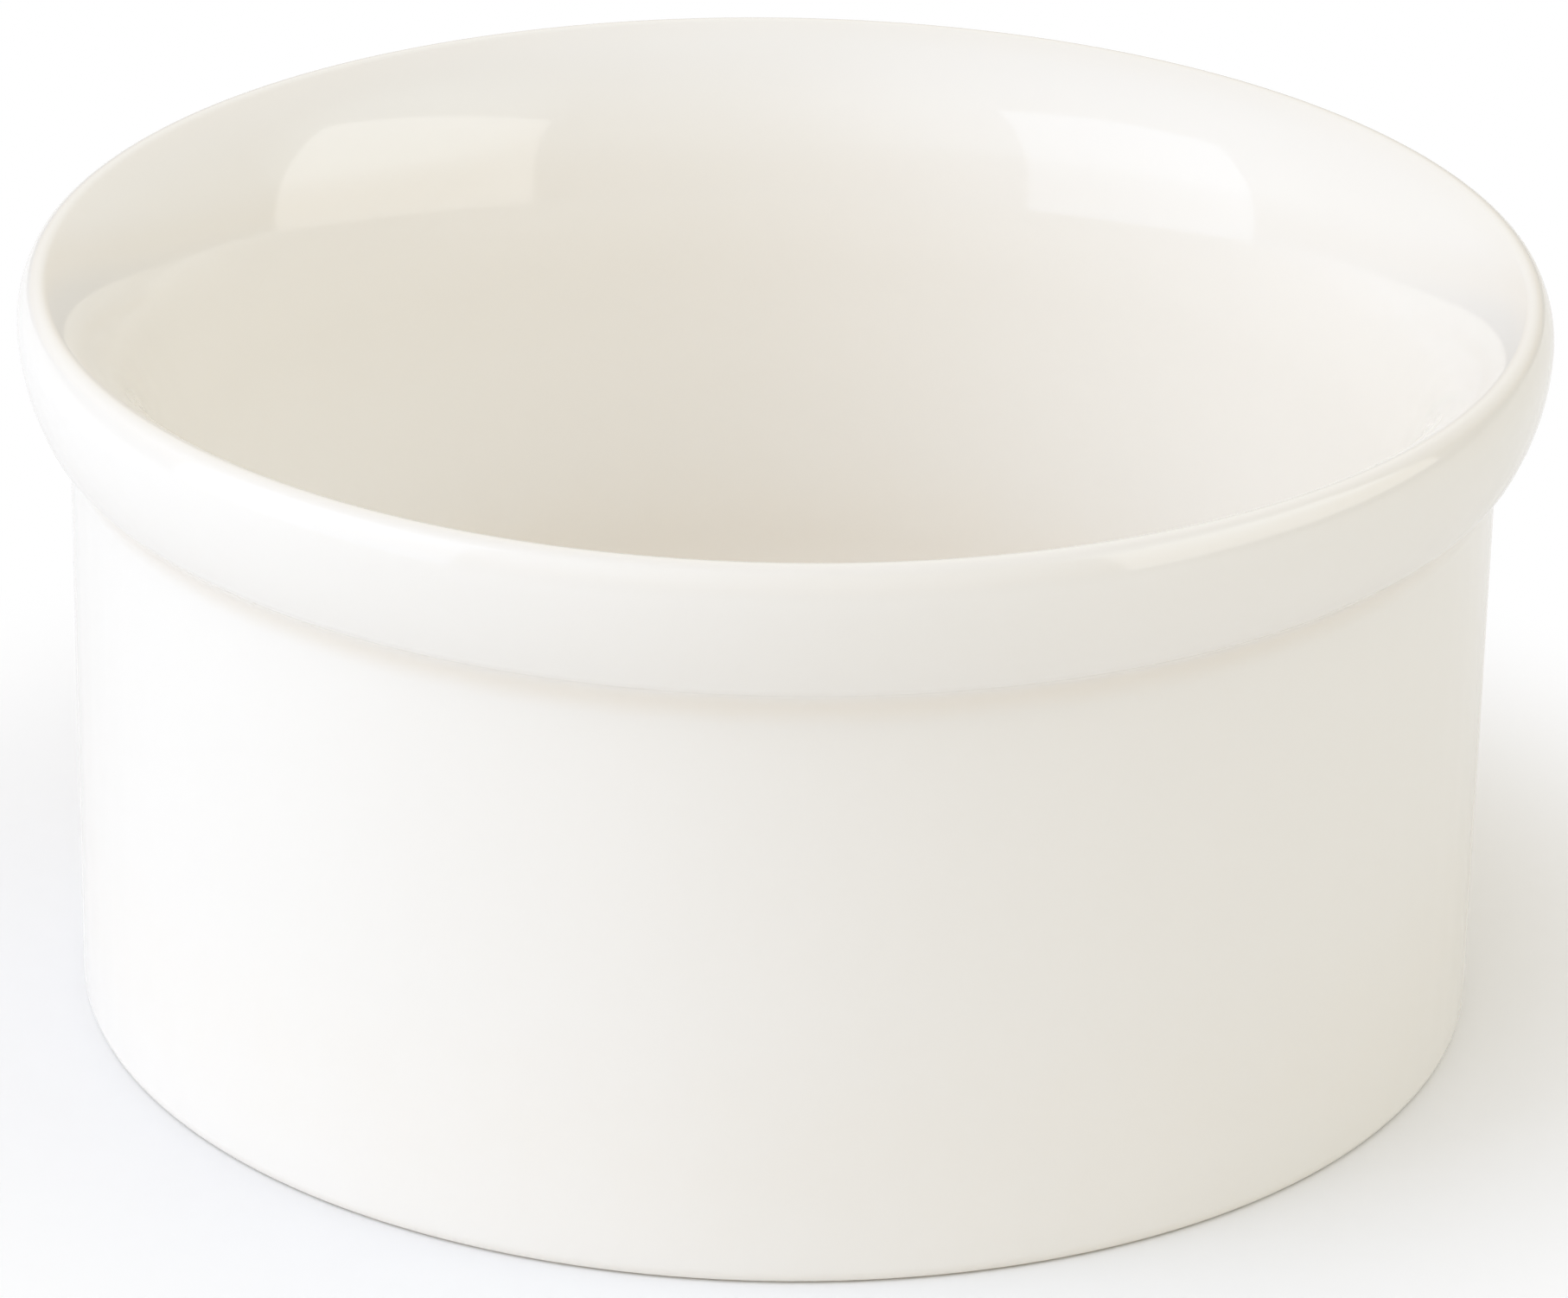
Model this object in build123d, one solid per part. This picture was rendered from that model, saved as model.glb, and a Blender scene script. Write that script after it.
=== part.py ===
from build123d import *
from math import acos, cos, degrees, radians, sin
import os

# A small round porcelain ramekin: near-upright side wall, rolled rim with a flared lip inside it, rounded
# inner corner, thick floor and a foot ring. It is one piece of fired clay under two coats of glaze: one runs
# from the outer edge of the foot ring up the outside, over the rim and across the inside, and one lies in the
# recess of the underside. The foot ring is bare where it stands.
# Every piece is a section revolved about +Z, in millimetres. The origin is the centre of the resting plane.
# Sections are drawn with the radius along X and the height along Y. Angles are in degrees from the outward
# direction, and a slope is the angle of a surface from the vertical.

# Overall sizes of the finished piece. The overhang is from the foot of the outer wall to the rim's widest ring.
rim_diameter = 90.0
overall_height = 45.0
rim_overhang = 3.2
outer_wall_slope = 0.36
glaze_thickness = 0.25

# Rolled rim, outside: the arcs above and below its widest ring, and how far round each one goes
rim_upper_radius = 4.1
rim_upper_sweep = 29.0
rim_lower_radius = 10.8
rim_lower_sweep = 27.5
rim_underside_radius = 1.2
rim_neck_radius = 2.0

# Crest of the rim and the lip that flares from it down to the inner wall
crest_radius = 0.9
crest_end_slope = 59.0
lip_flare_radius = 12.3
lip_flare_end_slope = 21.0
lip_runout_radius = 26.5
inner_wall_slope = 4.5

# Inner corner and floor
floor_corner_radius = 9.0
floor_height = 5.5

# Foot ring, and the recess inside it. The edge radius is the glazed one, and the others are of the clay.
foot_edge_radius = 1.15
foot_flat_width = 2.6
recess_depth = 1.4
recess_edge_radius = 0.5
recess_corner_radius = 1.6
recess_side_slope = 40.0

# Ends of the glaze: how far it goes round the foot's outer edge, and where it starts on the recess's side
foot_glaze_sweep = 38.0
recess_glaze_start_share = 0.5

# Directions in the section
outwards = 0.0
upwards = 90.0
inwards = 180.0
downwards = -90.0


def step(place, length, angle):
    """The place that lies a length away from another in a direction."""
    return (place[0] + length * cos(radians(angle)), place[1] + length * sin(radians(angle)))


def along(place, angle):
    """How far a place lies from the origin in a direction."""
    return place[0] * cos(radians(angle)) + place[1] * sin(radians(angle))


def place_at(height, distance, angle):
    """The place at a height that lies a distance from the origin in a direction."""
    return ((distance - height * sin(radians(angle))) / cos(radians(angle)), height)


def arc(centre, radius, start, end):
    """The arc of a circle from one angle to another."""
    return CenterArc(centre, radius, start, end - start)


class FinishedSection:
    """Centres and angles of the glazed outline, from the foot's edge over the rim to the floor."""

    wall_facing = -outer_wall_slope
    glaze_end = -outer_wall_slope - foot_glaze_sweep
    crest_end = inwards - crest_end_slope
    flare_end = inwards - lip_flare_end_slope
    inner_facing = inwards - inner_wall_slope

    def __init__(self):
        rim_reach = rim_diameter / 2
        crest_rise = (rim_upper_radius - crest_radius) * sin(radians(rim_upper_sweep)) + crest_radius
        widest_height = overall_height - crest_rise
        self.upper = (rim_reach - rim_upper_radius, widest_height)
        self.lower = (rim_reach - rim_lower_radius, widest_height)
        self.crest = step(self.upper, rim_upper_radius - crest_radius, rim_upper_sweep)
        self.flare = step(self.crest, crest_radius - lip_flare_radius, self.crest_end)
        self.runout = step(self.flare, lip_flare_radius - lip_runout_radius, self.flare_end)
        self.wall_distance = (rim_reach - rim_overhang) * cos(radians(outer_wall_slope))
        self.place_neck()
        self.place_corners()

    def place_neck(self):
        """The underside arc follows the rim, and the neck fillet joins it to the outer wall."""
        self.underside = step(self.lower, rim_lower_radius - rim_underside_radius, -rim_lower_sweep)
        between = rim_underside_radius + rim_neck_radius
        outside_wall = self.wall_distance + rim_neck_radius
        reach = outside_wall - along(self.underside, self.wall_facing)
        self.neck_turn = self.wall_facing - degrees(acos(reach / between))
        self.neck = step(self.underside, between, self.neck_turn)

    def place_corners(self):
        """The foot's edge touches the outer wall, and its clay touches the resting plane. The inner corner
        touches the sloping inner wall and the floor."""
        foot_clearance = foot_edge_radius - glaze_thickness
        self.foot_edge = place_at(foot_clearance, self.wall_distance - foot_edge_radius, self.wall_facing)
        inner_distance = along(self.runout, self.inner_facing) + lip_runout_radius
        corner_distance = inner_distance + floor_corner_radius
        self.corner = place_at(floor_height + floor_corner_radius, corner_distance, self.inner_facing)


finished = FinishedSection()


def skin_outline(depth):
    """Edges of the section at a depth below the finished surface, from the end of the glaze to the axis."""
    s = finished
    wall_start = step(s.foot_edge, foot_edge_radius - depth, s.wall_facing)
    wall_end = step(s.neck, rim_neck_radius + depth, inwards + s.wall_facing)
    inner_start = step(s.runout, lip_runout_radius - depth, s.inner_facing)
    inner_end = step(s.corner, floor_corner_radius + depth, s.inner_facing - inwards)
    floor_start = step(s.corner, floor_corner_radius + depth, downwards)
    floor_centre = (0, floor_height - depth)
    return [
        arc(s.foot_edge, foot_edge_radius - depth, s.glaze_end, s.wall_facing),
        Line(wall_start, wall_end),
        arc(s.neck, rim_neck_radius + depth, inwards + s.wall_facing, inwards + s.neck_turn),
        arc(s.underside, rim_underside_radius - depth, s.neck_turn, -rim_lower_sweep),
        arc(s.lower, rim_lower_radius - depth, -rim_lower_sweep, outwards),
        arc(s.upper, rim_upper_radius - depth, outwards, rim_upper_sweep),
        arc(s.crest, crest_radius - depth, rim_upper_sweep, s.crest_end),
        arc(s.flare, lip_flare_radius - depth, s.crest_end, s.flare_end),
        arc(s.runout, lip_runout_radius - depth, s.flare_end, s.inner_facing),
        Line(inner_start, inner_end),
        arc(s.corner, floor_corner_radius + depth, s.inner_facing - inwards, downwards),
        Line(floor_start, floor_centre),
    ]


class FootSection:
    """Centres and angles of the bare clay foot ring, and of the recess inside it."""

    side_facing = -inwards + recess_side_slope

    def __init__(self):
        self.flat_start = (finished.foot_edge[0], 0)
        self.flat_end = (finished.foot_edge[0] - foot_flat_width, 0)
        self.inner_edge = (self.flat_end[0], recess_edge_radius)
        self.side_start = step(self.inner_edge, recess_edge_radius, self.side_facing)
        side_distance = along(self.side_start, self.side_facing)
        corner_height = recess_depth - recess_corner_radius
        corner_distance = side_distance + recess_corner_radius
        self.corner = place_at(corner_height, corner_distance, self.side_facing)
        self.side_end = step(self.corner, recess_corner_radius, self.side_facing + inwards)

    def glaze_start(self):
        """The place on the side of the recess where its glaze begins."""
        share = recess_glaze_start_share
        radius = self.side_start[0] + (self.side_end[0] - self.side_start[0]) * share
        height = self.side_start[1] + (self.side_end[1] - self.side_start[1]) * share
        return (radius, height)


foot = FootSection()


def recess_outline(cover):
    """Edges from the glaze's start in the recess to the axis, at a thickness of glaze over the clay."""
    start = step(foot.glaze_start(), cover, foot.side_facing)
    corner_radius = recess_corner_radius - cover
    side_end = step(foot.corner, corner_radius, foot.side_facing + inwards)
    ceiling_start = step(foot.corner, corner_radius, upwards)
    return [
        Line(start, side_end),
        arc(foot.corner, corner_radius, foot.side_facing + inwards, upwards),
        Line(ceiling_start, (0, recess_depth - cover)),
    ]


def foot_outline():
    """Edges of the bare clay from the end of the outer glaze round the foot ring to the recess's glaze."""
    clay_radius = foot_edge_radius - glaze_thickness
    return [
        arc(finished.foot_edge, clay_radius, finished.glaze_end, downwards),
        Line(foot.flat_start, foot.flat_end),
        arc(foot.inner_edge, recess_edge_radius, downwards, foot.side_facing),
        Line(foot.side_start, foot.glaze_start()),
    ]


def turned(edges):
    """The solid that a closed outline makes when it is revolved about the axis."""
    return revolve(Plane.XZ * make_face(edges), Axis.Z)


def porcelain_body():
    """Fired clay: foot ring, floor, wall and rolled rim."""
    axis_edge = Line((0, recess_depth), (0, floor_height - glaze_thickness))
    return turned([*skin_outline(glaze_thickness), axis_edge, *recess_outline(0), *foot_outline()])


def bowl_glaze():
    """Glaze over the outside, the rim and the inside, down to the outer edge of the foot ring."""
    clay = skin_outline(glaze_thickness)
    surface = skin_outline(0)
    lower_edge = Line(clay[0] @ 0, surface[0] @ 0)
    axis_edge = Line(surface[-1] @ 1, clay[-1] @ 1)
    return turned([*clay, lower_edge, *surface, axis_edge])


def base_glaze():
    """Glaze in the recess of the underside, clear of the surface that the foot ring stands on."""
    clay = recess_outline(0)
    surface = recess_outline(glaze_thickness)
    outer_edge = Line(clay[0] @ 0, surface[0] @ 0)
    axis_edge = Line(surface[-1] @ 1, clay[-1] @ 1)
    return turned([*clay, outer_edge, *surface, axis_edge])


os.makedirs("parts", exist_ok=True)
for name, piece in {
    "porcelain_body": porcelain_body(),
    "bowl_glaze": bowl_glaze(),
    "base_glaze": base_glaze(),
}.items():
    export_step(piece, f"parts/{name}.step")
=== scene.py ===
from collections import namedtuple
from math import acos, atan2, ceil, cos, pi, radians, sin, tan

import bmesh
import bpy
from bpy.props import FloatProperty, FloatVectorProperty, IntProperty, PointerProperty
from bpy.types import Operator, Panel, PropertyGroup
from mathutils import Matrix, Vector


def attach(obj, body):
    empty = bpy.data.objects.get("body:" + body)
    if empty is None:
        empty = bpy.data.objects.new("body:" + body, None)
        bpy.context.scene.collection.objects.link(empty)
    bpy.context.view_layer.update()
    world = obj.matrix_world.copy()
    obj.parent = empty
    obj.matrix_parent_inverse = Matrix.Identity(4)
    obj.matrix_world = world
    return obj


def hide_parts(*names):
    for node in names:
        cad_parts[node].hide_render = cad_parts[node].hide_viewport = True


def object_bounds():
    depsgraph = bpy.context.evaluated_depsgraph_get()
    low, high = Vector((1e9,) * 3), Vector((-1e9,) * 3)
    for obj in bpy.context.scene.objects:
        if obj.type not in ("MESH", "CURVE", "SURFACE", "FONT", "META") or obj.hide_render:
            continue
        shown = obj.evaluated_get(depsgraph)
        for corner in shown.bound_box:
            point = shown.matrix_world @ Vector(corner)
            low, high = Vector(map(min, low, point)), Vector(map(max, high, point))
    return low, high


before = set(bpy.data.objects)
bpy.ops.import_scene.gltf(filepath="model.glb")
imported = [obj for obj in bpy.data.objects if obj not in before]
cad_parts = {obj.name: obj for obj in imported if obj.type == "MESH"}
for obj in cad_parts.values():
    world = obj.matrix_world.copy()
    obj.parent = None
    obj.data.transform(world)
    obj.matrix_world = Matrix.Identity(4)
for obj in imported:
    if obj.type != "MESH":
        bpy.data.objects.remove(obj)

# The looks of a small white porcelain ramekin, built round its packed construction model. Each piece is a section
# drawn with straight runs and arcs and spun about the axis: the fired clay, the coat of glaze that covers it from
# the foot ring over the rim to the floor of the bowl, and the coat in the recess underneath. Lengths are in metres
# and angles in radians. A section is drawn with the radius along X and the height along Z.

bl_info = {
    "name": "Porcelain Ramekin",
    "version": (1, 0, 0),
    "blender": (4, 5, 0),
    "location": "3D View > Sidebar > Ramekin",
    "description": "Builds a glazed ramekin round its construction model, with a plain studio",
    "category": "Object",
}

CAD_LOW, CAD_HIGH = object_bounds()
CAD_REACH = min(-CAD_LOW.x, -CAD_LOW.y, CAD_HIGH.x, CAD_HIGH.y)
MM = 0.001

# Vertices closer than this are merged after a spin
MERGE_DISTANCE = 0.001 * MM

# Corners of the round floor
FLOOR_SIDES = 128

# The part of a noise's range over which a mask of patches rises, and the narrower one of the rubbed clay
NOISE_LOW, NOISE_HIGH = 0.3, 0.7
RUBBED_LOW, RUBBED_HIGH = 0.4, 0.62

# How a ring mask strays from a true ring: waves in a metre, and their size as a share of the ring's reach
STRAY_SCALE = 260.0
STRAY_SHARE = 0.25

# Directions in a section, from the outward one
OUTWARDS = 0.0
UPWARDS = pi / 2
INWARDS = pi
DOWNWARDS = -pi / 2


def length(name, description, default):
    """A length that the user can change."""
    return FloatProperty(
        name=name, description=description, default=default, min=0.0, precision=5, subtype="DISTANCE", unit="LENGTH"
    )


def angle(name, description, degrees):
    """An angle that the user can change."""
    return FloatProperty(
        name=name, description=description, default=radians(degrees), precision=3, subtype="ANGLE", unit="ROTATION"
    )


def angles(name, description, degrees):
    """The two bounds of a span of angles that the user can change."""
    return FloatVectorProperty(
        name=name, description=description, default=tuple(map(radians, degrees)), size=2, precision=3,
        unit="ROTATION",
    )


def sines(name, description, default):
    """Sines of elevations that the user can change."""
    return FloatVectorProperty(
        name=name, description=description, default=default, size=len(default), min=0.0, max=1.0
    )


def colour(name, description, default):
    """A colour that the user can change."""
    return FloatVectorProperty(
        name=name, description=description, default=default, size=3, min=0.0, max=1.0, subtype="COLOR"
    )


def share(name, description, default):
    """A share from 0 to 1 that the user can change."""
    return FloatProperty(name=name, description=description, default=default, min=0.0, max=1.0, subtype="FACTOR")


def amount(name, description, default):
    """A count or a strength that the user can change."""
    return FloatProperty(name=name, description=description, default=default, min=0.0)


class RamekinSizes(PropertyGroup):
    """Driving sizes of the glazed surface and of the clay under it."""

    rim_diameter: length("Rim diameter", "Across the widest ring of the rim", 2 * CAD_REACH)
    overall_height: length("Overall height", "From the resting plane to the crest of the rim", CAD_HIGH.z)
    rim_overhang: length("Rim overhang", "From the foot of the outer wall to the rim's widest ring", 3.2 * MM)
    outer_wall_slope: angle("Outer wall slope", "Angle of the outer wall from the vertical", 0.36)
    glaze_thickness: length("Glaze thickness", "Thickness of both coats of glaze", 0.25 * MM)
    rim_upper_radius: length("Rim upper radius", "Arc of the rim above its widest ring", 4.1 * MM)
    rim_upper_sweep: angle("Rim upper sweep", "How far round the upper arc goes", 29.0)
    rim_lower_radius: length("Rim lower radius", "Arc of the rim below its widest ring", 10.8 * MM)
    rim_lower_sweep: angle("Rim lower sweep", "How far round the lower arc goes", 27.5)
    rim_underside_radius: length("Rim underside radius", "Arc that turns the rim in under itself", 1.6 * MM)
    rim_neck_radius: length("Rim neck radius", "Fillet between the rim's underside and the wall", 2.9 * MM)
    crest_radius: length("Crest radius", "Arc over the top edge of the rim", 0.9 * MM)
    crest_end_slope: angle("Crest end slope", "Angle from the vertical where the crest meets the lip", 59.0)
    lip_flare_radius: length("Lip flare radius", "Upper arc of the flared lip", 12.3 * MM)
    lip_flare_end_slope: angle("Lip flare end slope", "Angle from the vertical where the lip's arcs meet", 21.0)
    lip_runout_radius: length("Lip runout radius", "Lower arc of the lip, down to the inner wall", 26.5 * MM)
    inner_wall_slope: angle("Inner wall slope", "Angle of the inner wall from the vertical", 4.5)
    floor_corner_radius: length("Floor corner radius", "Rounded corner between inner wall and floor", 9.0 * MM)
    floor_height: length("Floor height", "Height of the bowl's floor above the resting plane", 5.5 * MM)
    foot_edge_radius: length("Foot edge radius", "Outer edge of the foot ring, over its glaze", 1.15 * MM)
    foot_flat_width: length("Foot flat width", "Width of the ring that stands on the table", 2.6 * MM)
    foot_glaze_sweep: angle("Foot glaze sweep", "How far the glaze goes round the foot's outer edge", 38.0)
    recess_depth: length("Recess depth", "Depth of the clay inside the foot ring", 1.4 * MM)
    recess_edge_radius: length("Recess edge radius", "Inner edge of the foot ring", 0.5 * MM)
    recess_corner_radius: length("Recess corner radius", "Corner between the recess's side and its ceiling", 1.6 * MM)
    recess_side_slope: angle("Recess side slope", "Angle of the recess's side from the vertical", 40.0)
    recess_glaze_start: share("Recess glaze start", "Where the inner coat starts on the recess's side", 0.5)


class RamekinMesh(PropertyGroup):
    """How finely the sections are drawn and spun."""

    spin_steps: IntProperty(name="Spin steps", description="Copies of the section round the axis", default=192, min=24)
    arc_step: angle("Arc step", "Largest turn between two points of an arc", 4.0)
    arc_chord: length("Arc chord", "Largest distance between two points of an arc", 0.5 * MM)
    run_chord: length("Run chord", "Largest distance between two points of a straight run", 1.5 * MM)


class GlazeFinish(PropertyGroup):
    """The fired glaze."""

    body_colour: colour("Glaze colour", "Colour of the full coat", (0.912, 0.887, 0.838))
    cloud_colour: colour("Cloud colour", "Colour of the soft clouds in the coat", (0.902, 0.878, 0.828))
    # Pooled glaze colour that also serves as painted shade: creamier and darker in the crease under the rim and over
    # the deep inner corner of the bowl
    pooled_and_shade_colour: colour("Pooled colour", "Colour where the glaze has run together", (0.900, 0.852, 0.772))
    thin_colour: colour("Thin colour", "Colour where the coat is thin over an edge", (0.900, 0.868, 0.808))
    speck_colour: colour("Speck colour", "Colour of the few specks under the glaze", (0.62, 0.54, 0.44))
    # The crease reach is pooled glaze with painted shade in the crease; the wide corner reach is mostly painted shade
    # darkening the deep inside of the bowl
    crease_pool_and_shade: length("Crease pool", "How far the glaze has run together round the crease", 1.6 * MM)
    corner_pool_and_shade: length("Corner pool", "How far the glaze has run together round the inner corner", 13.0 * MM)
    recess_pool: length("Recess pool", "How far the glaze has run together in the recess", 2.5 * MM)
    crest_thinning: length("Crest thinning", "How far the coat is thin round the crest", 1.9 * MM)
    foot_thinning: length("Foot thinning", "How far the coat is thin at its edge on the foot", 0.9 * MM)
    recess_thinning: length("Recess thinning", "How far the coat is thin at its edge in the recess", 0.8 * MM)
    gloss_roughness: share("Roughness", "Roughness of the glassy surface", 0.06)
    roughness_spread: share("Roughness spread", "Share by which the roughness varies", 0.15)
    ripple_height: length("Ripple height", "Height of the slow waves in the surface", 0.04 * MM)
    ripple_scale: amount("Ripple scale", "Waves in a metre", 55.0)
    peel_height: length("Peel height", "Height of the fine unevenness of the glaze", 0.0012 * MM)
    peel_scale: amount("Peel scale", "Fine dents in a metre", 800.0)
    cloud_scale: amount("Cloud scale", "Soft clouds in a metre", 40.0)
    speck_scale: amount("Speck scale", "Cells in a metre that may hold a speck", 260.0)
    speck_size: share("Speck size", "Largest speck, as a share of its cell", 0.12)
    speck_share: share("Speck share", "Share of the cells that hold a speck", 0.004)


class ClayFinish(PropertyGroup):
    """The bare fired clay of the foot ring."""

    body_colour: colour("Clay colour", "Colour of the fired clay", (0.80, 0.765, 0.70))
    mottle_colour: colour("Mottle colour", "Second colour of the fired clay", (0.77, 0.73, 0.655))
    fleck_colour: colour("Fleck colour", "Colour of the specks in the clay", (0.50, 0.42, 0.33))
    scuff_colour: colour("Scuff colour", "Colour of the worn ring that it stands on", (0.60, 0.575, 0.54))
    mottle_scale: amount("Mottle scale", "Patches of the second colour in a metre", 350.0)
    scuff_scale: amount("Scuff scale", "Rubbed patches in a metre", 500.0)
    scuff_reach: share("Scuff reach", "Reach of the worn ring, as a share of the foot's flat width", 0.8)
    roughness: share("Roughness", "Roughness of the bare clay", 0.78)
    roughness_spread: share("Roughness spread", "Share by which the roughness varies", 0.1)
    wave_height: length("Wave height", "Height of the slow waves in the surface", 0.02 * MM)
    wave_scale: amount("Wave scale", "Waves in a metre", 220.0)
    grain_height: length("Grain height", "Height of the clay's grain", 0.02 * MM)
    grain_scale: amount("Grain scale", "Grains in a metre", 2500.0)
    fleck_scale: amount("Fleck scale", "Cells in a metre that may hold a fleck", 1400.0)
    fleck_size: share("Fleck size", "Largest fleck, as a share of its cell", 0.5)
    fleck_share: share("Fleck share", "Share of the cells that hold a fleck", 0.06)


class StudioSettings(PropertyGroup):
    """Floor, lamps, surroundings and the camera of the reference view."""

    floor_colour: colour("Floor colour", "Colour of the pale floor", (0.93, 0.93, 0.93))
    floor_tone: share("Floor tone", "Darker tone of the floor, as a share of its colour", 0.985)
    floor_tooth: amount("Floor tooth", "Patches of the darker tone in a metre", 400.0)
    floor_roughness: share("Floor roughness", "Roughness of the floor", 0.9)
    floor_radius: length("Floor radius", "Radius of the floor", 3.0)
    shadow_start: length("Shadow start", "Radius inside which the floor shows the full shadow", 42 * MM)
    shadow_end: length("Shadow end", "Radius beyond which the floor shows as white", 75 * MM)
    panel_distance: length("Panel distance", "From the axis to each panel", 0.6)
    left_colour: colour("Left panel colour", "Colour of the key light on the left", (0.66, 0.78, 1.0))
    left_strength: amount("Left panel strength", "Radiance of the key light", 1.33)
    left_azimuth: angle("Left panel azimuth", "Direction of the left panel, from the front", -55.0)
    left_sides: angles("Left panel sides", "Sides of the left panel, from its azimuth", (-39.0, 9.4))
    left_rises: angles("Left panel rises", "Elevations of the left panel's lower and upper edges", (1.0, 49.3))
    right_colour: colour("Right panel colour", "Colour of the right panel in the glaze", (1.0, 0.98, 0.95))
    right_strength: amount("Right panel strength", "Radiance of the right panel in the glaze", 1.35)
    right_azimuth: angle("Right panel azimuth", "Direction of the right panel, from the front", 86.0)
    right_sides: angles("Right panel sides", "Sides of the right panel, from its azimuth", (-37.5, 19.5))
    right_rises: angles("Right panel rises", "Elevations of the right panel's lower and upper edges", (8.0, 46.2))
    horizon_colour: colour("Horizon colour", "Light of the surroundings just above the floor", (0.05, 0.04, 0.02))
    low_colour: colour("Low colour", "Light of the surroundings at 15 degrees", (0.48, 0.31, 0.06))
    dome_colour: colour("Dome colour", "Light of the surroundings at 30 degrees", (1.0, 0.98, 0.90))
    high_colour: colour("High colour", "Light of the surroundings at 50 degrees", (0.90, 0.86, 0.79))
    zenith_colour: colour("Zenith colour", "Light of the surroundings overhead", (0.56, 0.52, 0.49))
    dome_rises: sines("Dome rises", "Elevations between which each colour of the dome turns into the next",
                      (0.08, 0.22, 0.42, 0.70, 0.95))
    left_glow: colour("Left glow", "Colour of the bounced light on the left", (0.65, 0.76, 1.0))
    left_glow_strength: amount("Left glow strength", "Radiance of the bounced light on the left", 0.86)
    left_glow_azimuth: angle("Left glow azimuth", "Direction of the left glow, from the front", -60.0)
    left_glow_spread: angle("Left glow spread", "From the middle of the left glow to its edge", 53.0)
    right_glow: colour("Right glow", "Colour of the bounced light on the right", (0.68, 0.86, 1.0))
    right_glow_strength: amount("Right glow strength", "Radiance of the bounced light on the right", 0.97)
    right_glow_azimuth: angle("Right glow azimuth", "Direction of the right glow, from the front", 80.0)
    right_glow_spread: angle("Right glow spread", "From the middle of the right glow to its edge", 31.0)
    glow_elevation: angle("Glow elevation", "Elevation of the middle of both glows", 36.0)
    mirrored_floor: share("Mirrored floor", "Share of the floor's white that shows in the glaze", 0.25)
    mirrored_sky: share("Mirrored sky", "Share of the white behind the object that shows in the glaze", 0.5)
    white_rises: sines("White rises", "Elevations between which the white background ends", (0.35, 0.40))
    bounces: IntProperty(name="Bounces", description="Bounces of light followed inside the bowl", default=12, min=1)
    camera_distance: length("Camera distance", "From the camera to the aim point", 0.5)
    camera_elevation: angle("Camera elevation", "Angle of the view above the horizon", 23.89)
    camera_roll: angle("Camera roll", "Turn of the camera about its own axis", 1.06)
    camera_lens: FloatProperty(
        name="Lens", description="Focal length", default=192.1, min=1.0, subtype="DISTANCE_CAMERA", unit="CAMERA"
    )
    aim_side: length("Aim side", "Aim point to the right of the axis", 0.26 * MM)
    aim_height: length("Aim height", "Aim point above the table", 20.65 * MM)


def step(place, distance, direction):
    """The place that lies a distance from another in a direction."""
    return Vector((place.x + distance * cos(direction), place.y + distance * sin(direction)))


def along(place, direction):
    """How far a place lies from the origin in a direction."""
    return place.x * cos(direction) + place.y * sin(direction)


def place_at(height, distance, direction):
    """The place at a height that lies a distance from the origin in a direction."""
    return Vector(((distance - height * sin(direction)) / cos(direction), height))


# The strokes that a section is drawn with. A run is straight, and an arc turns about its centre.
Run = namedtuple("Run", "start end")
Arc = namedtuple("Arc", "centre radius start end")


def stroke_start(stroke):
    """The place where a stroke begins."""
    return stroke.start if isinstance(stroke, Run) else step(stroke.centre, stroke.radius, stroke.start)


def backwards(strokes):
    """The same outline, drawn from its other end."""
    return [stroke._replace(start=stroke.end, end=stroke.start) for stroke in reversed(strokes)]


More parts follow.
